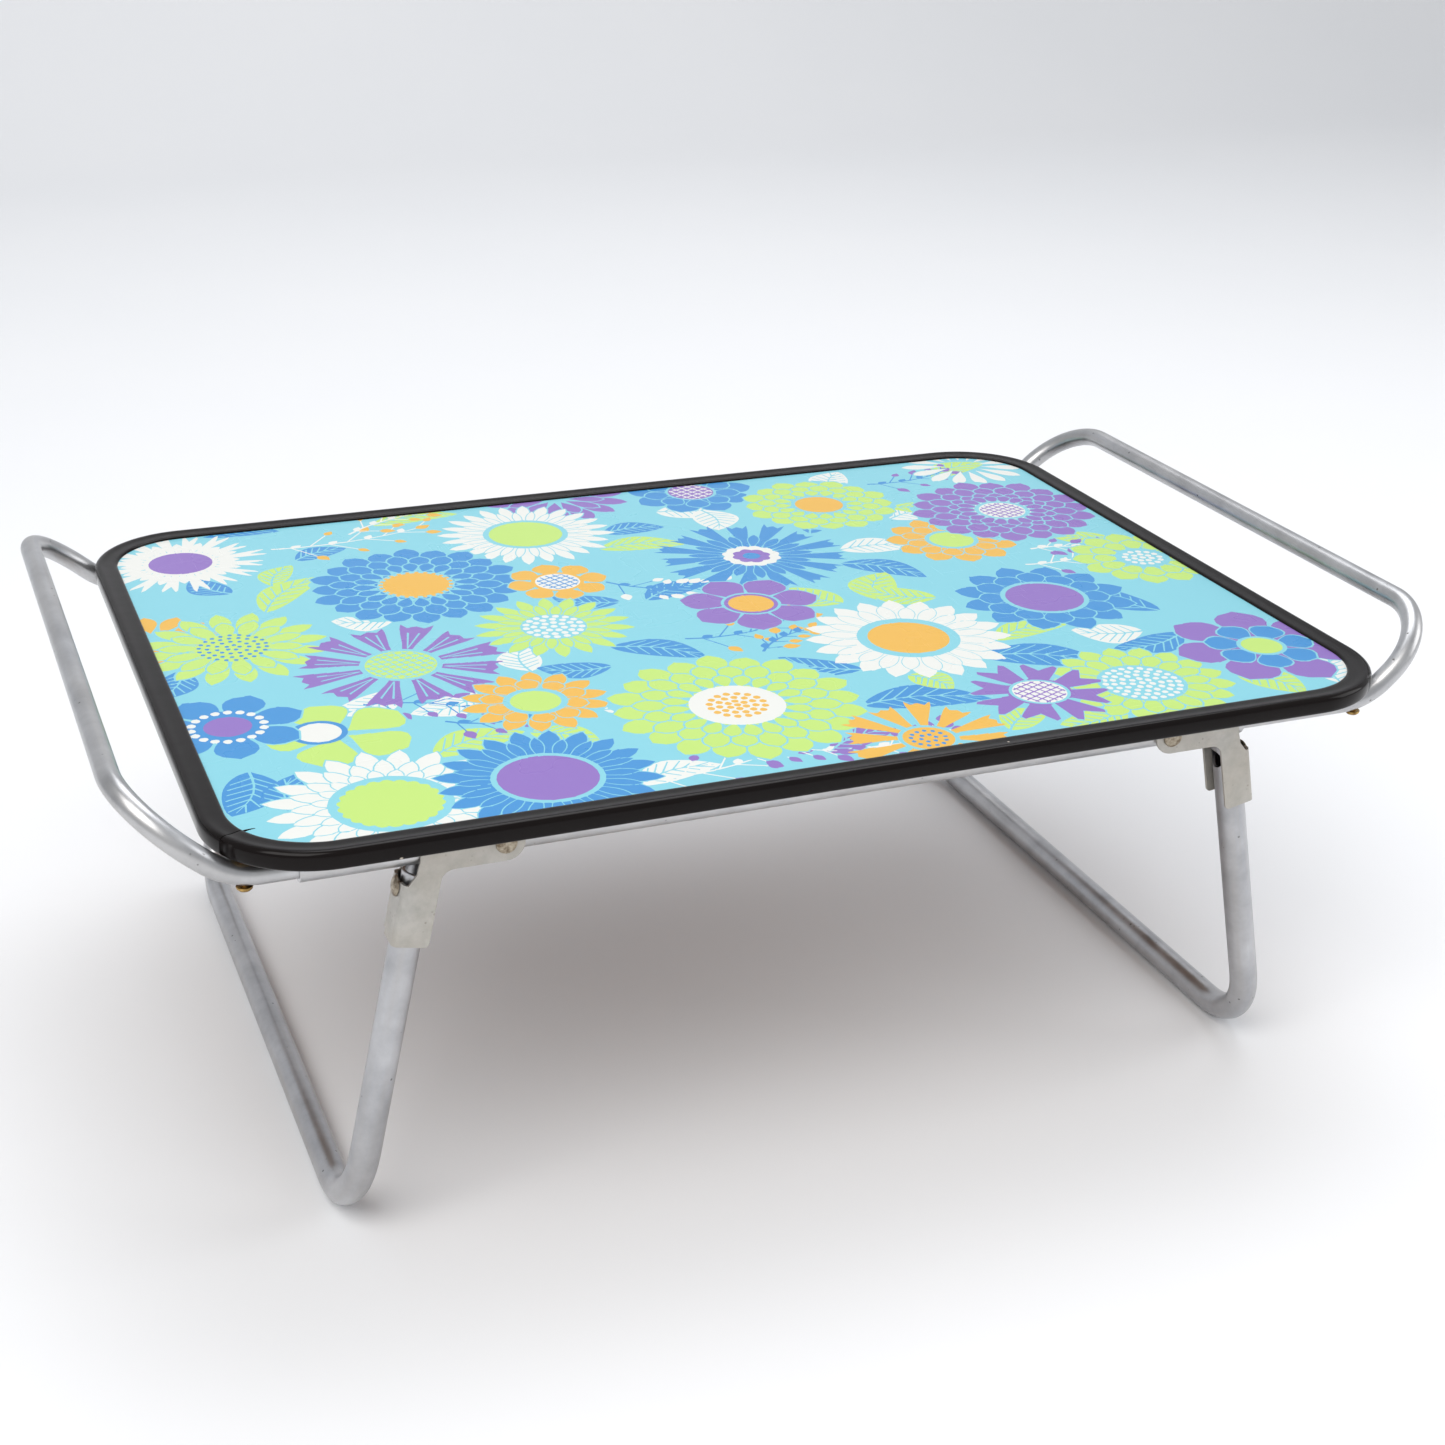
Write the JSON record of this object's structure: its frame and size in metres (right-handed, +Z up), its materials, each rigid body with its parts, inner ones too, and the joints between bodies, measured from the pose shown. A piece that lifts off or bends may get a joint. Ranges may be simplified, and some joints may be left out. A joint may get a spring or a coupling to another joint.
{
  "type": "folding tray table",
  "caption": "Low bed tray table with rounded corners, plastic edging and a printed top, on bent tube handles and bent tube leg loops that fold in under the tray.",
  "frame": {"origin": "on the floor under the middle of the tray, legs open", "axes": "+X along the length of the tray towards the right handle, +Y towards the back, +Z up"},
  "size_m": [0.5944, 0.38, 0.2111],
  "materials": {
    "laminate": "satin decorative laminate with a flower print",
    "board": "bare hardboard",
    "edging": "glossy black-brown plastic moulding",
    "tube": "satin drawn tube, slightly dulled and pitted",
    "leg_tube": "satin drawn tube with fine lines along it",
    "bracket": "dull zinc-plated pressed sheet",
    "rivet": "tarnished plated rivet",
    "brass": "dull brass"
  },
  "bodies": {
    "tray": {"top_board": "board", "printed_laminate": "laminate", "edge_trim": "edging", "side_rail_front": "tube", "side_rail_back": "tube", "handle_tube_left": "tube", "handle_tube_right": "tube", "corner_spacer_front_left": "brass", "corner_spacer_front_right": "brass", "corner_spacer_back_left": "brass", "corner_spacer_back_right": "brass", "corner_screw_front_left": "brass", "corner_screw_front_right": "brass", "corner_screw_back_left": "brass", "corner_screw_back_right": "brass", "pivot_rivet_front_left": "rivet", "pivot_rivet_front_right": "rivet", "pivot_rivet_back_left": "rivet", "pivot_rivet_back_right": "rivet"},
    "left_leg": {"leg_loop_left": "leg_tube", "leg_bracket_front_left": "bracket", "leg_bracket_back_left": "bracket", "leg_rivet_front_left": "rivet", "leg_rivet_back_left": "rivet"},
    "right_leg": {"leg_loop_right": "leg_tube", "leg_bracket_front_right": "bracket", "leg_bracket_back_right": "bracket", "leg_rivet_front_right": "rivet", "leg_rivet_back_right": "rivet"}
  },
  "joints": [
    {"name": "left_leg_fold", "type": "hinge", "parent": "tray", "child": "left_leg", "pos_m": [-0.15, 0, 0.1738], "axis": [0, -1, 0], "range_deg": [0, 108]},
    {"name": "right_leg_fold", "type": "hinge", "parent": "tray", "child": "right_leg", "pos_m": [0.15, 0, 0.1738], "axis": [0, 1, 0], "range_deg": [0, 102.5]}
  ]
}
